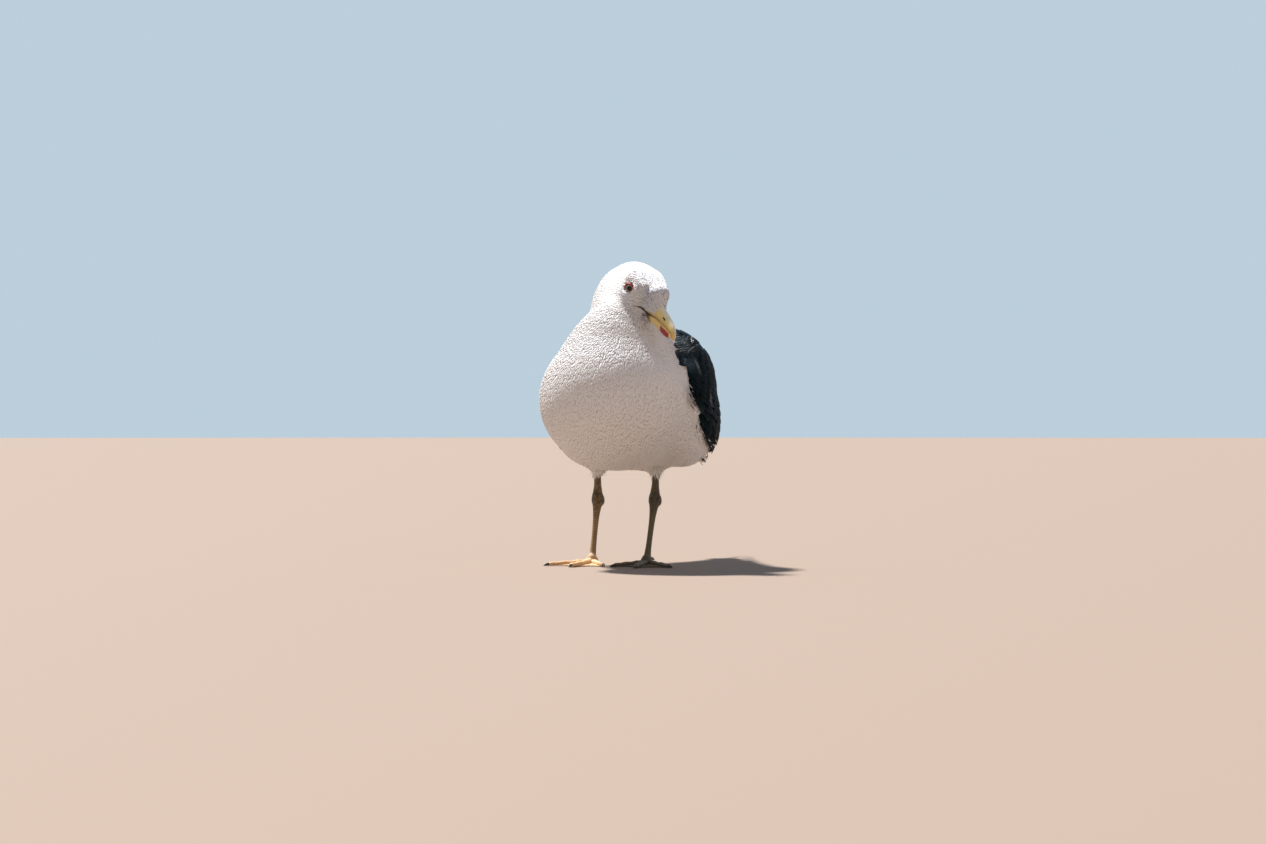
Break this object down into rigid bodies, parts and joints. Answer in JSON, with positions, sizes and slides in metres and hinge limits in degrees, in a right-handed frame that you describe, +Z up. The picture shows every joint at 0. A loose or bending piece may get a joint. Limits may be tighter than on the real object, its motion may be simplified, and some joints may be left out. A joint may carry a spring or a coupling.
{
  "type": "standing gull model",
  "caption": "Life-size black-backed gull standing on webbed feet, wings folded over the tail, head turned over the left shoulder and dipped.",
  "frame": {"origin": "on the floor, under the middle of the bird's bounding box", "axes": "+Z up, the breast faces -Y and the tail +Y, the bird's left side is +X"},
  "size_m": [0.1836, 0.4136, 0.3136],
  "materials": {
    "plumage_white": "soft white body feathers, sparse grey-brown flecks on crown and lores",
    "tail_white": "smooth white tail feathers",
    "mantle_slate": "slate-black feathers with paler fringes",
    "wing_slate": "slate-black feathers, white tips on the long flight feathers",
    "bill_yellow": "satin horn, red spot near the tip of the lower half",
    "eye": "wet pale iris with a black pupil",
    "eyelid_red": "bare orange-red skin",
    "leg_skin": "scaled yellow to olive skin",
    "foot_skin": "scaled yellow-ochre skin with finely wrinkled webs",
    "claw": "dark horn"
  },
  "bodies": {
    "root": {"torso": "plumage_white", "neck": "plumage_white", "head": "plumage_white", "thigh_left": "plumage_white", "thigh_right": "plumage_white", "tail": "tail_white", "back": "mantle_slate", "wing_left": "wing_slate", "wing_right": "wing_slate", "bill_upper": "bill_yellow", "bill_lower": "bill_yellow", "eye_left": "eye", "eye_right": "eye", "eyelid_left": "eyelid_red", "eyelid_right": "eyelid_red", "shin_left": "leg_skin", "shin_right": "leg_skin", "tarsus_left": "leg_skin", "tarsus_right": "leg_skin", "foot_left": "foot_skin", "foot_right": "foot_skin", "claw_inner_left": "claw", "claw_middle_left": "claw", "claw_outer_left": "claw", "claw_hallux_left": "claw", "claw_inner_right": "claw", "claw_middle_right": "claw", "claw_outer_right": "claw", "claw_hallux_right": "claw"}
  },
  "joints": []
}
